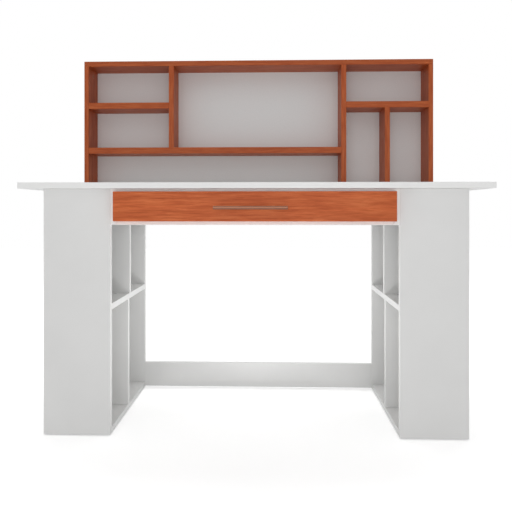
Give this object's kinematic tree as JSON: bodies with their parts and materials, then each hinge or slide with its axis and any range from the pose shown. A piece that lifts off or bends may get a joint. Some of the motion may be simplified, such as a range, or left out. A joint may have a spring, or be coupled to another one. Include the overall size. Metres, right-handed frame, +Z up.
{
  "type": "student desk with hutch",
  "caption": "Student desk with open shelf pedestals, a slim wood-fronted drawer on slides and a shallow shelf hutch of staggered bays on the desktop.",
  "frame": {"origin": "on the floor, in the middle of the overall width and depth, the handle included", "axes": "+X to the sitter's right, +Y to the back, +Z up"},
  "size_m": [1.39, 0.553, 1.205],
  "materials": {
    "white_melamine": "smooth white melamine on particle board",
    "cherry_laminate": "satin cherry-tone wood laminate",
    "satin_steel": "satin",
    "zinc": "zinc die casting",
    "plated_steel": "zinc plated",
    "beech": "plain beech",
    "glide_plastic": "moulded",
    "hardboard": "white lacquered hardboard"
  },
  "bodies": {
    "desk": {"base_cam_bolts": "zinc", "base_cam_locks": "zinc", "base_dowels": "beech", "case_back": "white_melamine", "case_bottom": "white_melamine", "case_front_rail": "white_melamine", "case_left_side": "white_melamine", "case_right_side": "white_melamine", "case_screws": "plated_steel", "case_slide_screws": "plated_steel", "desktop": "white_melamine", "divider_screws": "plated_steel", "floor_glides": "glide_plastic", "hutch_back": "hardboard", "hutch_back_screws": "plated_steel", "hutch_cam_bolts": "zinc", "hutch_cam_locks": "zinc", "hutch_dowels": "beech", "hutch_left_divider": "cherry_laminate", "hutch_left_shelf": "cherry_laminate", "hutch_left_side": "cherry_laminate", "hutch_long_shelf": "cherry_laminate", "hutch_right_divider": "cherry_laminate", "hutch_right_shelf": "cherry_laminate", "hutch_right_side": "cherry_laminate", "hutch_small_divider": "cherry_laminate", "hutch_top": "cherry_laminate", "left_bottom_panel": "white_melamine", "left_front_panel": "white_melamine", "left_lower_divider": "white_melamine", "left_outer_panel": "white_melamine", "left_rear_panel": "white_melamine", "left_shelf": "white_melamine", "left_slide_cabinet": "plated_steel", "left_upper_divider": "white_melamine", "rail_screws": "plated_steel", "right_bottom_panel": "white_melamine", "right_front_panel": "white_melamine", "right_lower_divider": "white_melamine", "right_outer_panel": "white_melamine", "right_rear_panel": "white_melamine", "right_shelf": "white_melamine", "right_slide_cabinet": "plated_steel", "right_upper_divider": "white_melamine", "stretcher": "white_melamine"},
    "drawer": {"drawer_back": "white_melamine", "drawer_bottom": "hardboard", "drawer_dowels": "beech", "drawer_front": "cherry_laminate", "drawer_left_side": "white_melamine", "drawer_right_side": "white_melamine", "drawer_slide_screws": "plated_steel", "handle_bar": "satin_steel", "handle_posts": "satin_steel", "handle_screws": "plated_steel", "left_slide_drawer": "plated_steel", "right_slide_drawer": "plated_steel"},
    "left_runner": {"left_slide_middle": "plated_steel"},
    "right_runner": {"right_slide_middle": "plated_steel"}
  },
  "joints": [
    {"name": "drawer_slide", "type": "slide", "parent": "desk", "child": "drawer", "axis": [0, -1, 0], "range_m": [0, 0.38]},
    {"name": "left_runner_slide", "type": "slide", "parent": "desk", "child": "left_runner", "axis": [0, -1, 0], "range_m": [0, 0.19]},
    {"name": "right_runner_slide", "type": "slide", "parent": "desk", "child": "right_runner", "axis": [0, -1, 0], "range_m": [0, 0.19]}
  ],
  "couplings": [
    {"joint": "left_runner_slide", "follows": "drawer_slide", "ratio": 0.5},
    {"joint": "right_runner_slide", "follows": "drawer_slide", "ratio": 0.5}
  ]
}
